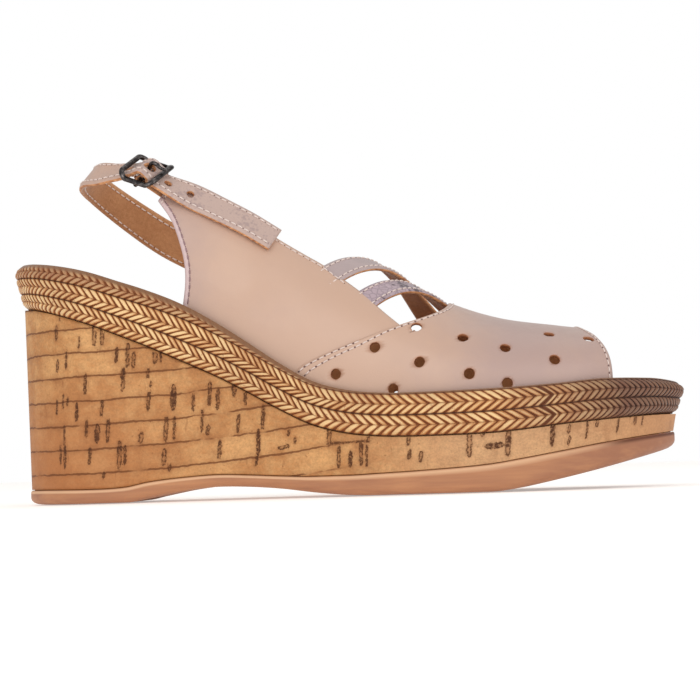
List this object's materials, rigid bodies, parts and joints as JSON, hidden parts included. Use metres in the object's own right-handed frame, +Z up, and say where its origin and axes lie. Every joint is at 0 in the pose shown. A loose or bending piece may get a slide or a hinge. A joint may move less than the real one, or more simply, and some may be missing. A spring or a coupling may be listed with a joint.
{
  "type": "platform sandal",
  "caption": "Platform wedge sandal for a right foot: open toe, punched vamp, crossed instep straps, slingback with a buckle, cork-covered wedge under a braided rand.",
  "frame": {"origin": "middle of the shoe's plan, on the floor that the sole stands on", "axes": "+X to the toe, +Y to the inner (medial) side of the right foot, +Z up"},
  "size_m": [0.248, 0.0918, 0.1269],
  "materials": {
    "brown_rubber": "satin moulded, fine tread",
    "cork": "matte cork veneer",
    "braid": "moulded braid, brown in its grooves",
    "tan_lining": "napped lining leather",
    "nude_leather": "smooth satin",
    "gunmetal": "dark polished"
  },
  "bodies": {
    "root": {"outsole": "brown_rubber", "cork_wedge": "cork", "braid_rand": "braid", "insole": "tan_lining", "upper": "nude_leather", "heel_strap": "nude_leather", "buckle_tab": "nude_leather", "buckle_frame": "gunmetal", "buckle_prong": "gunmetal"}
  },
  "joints": []
}
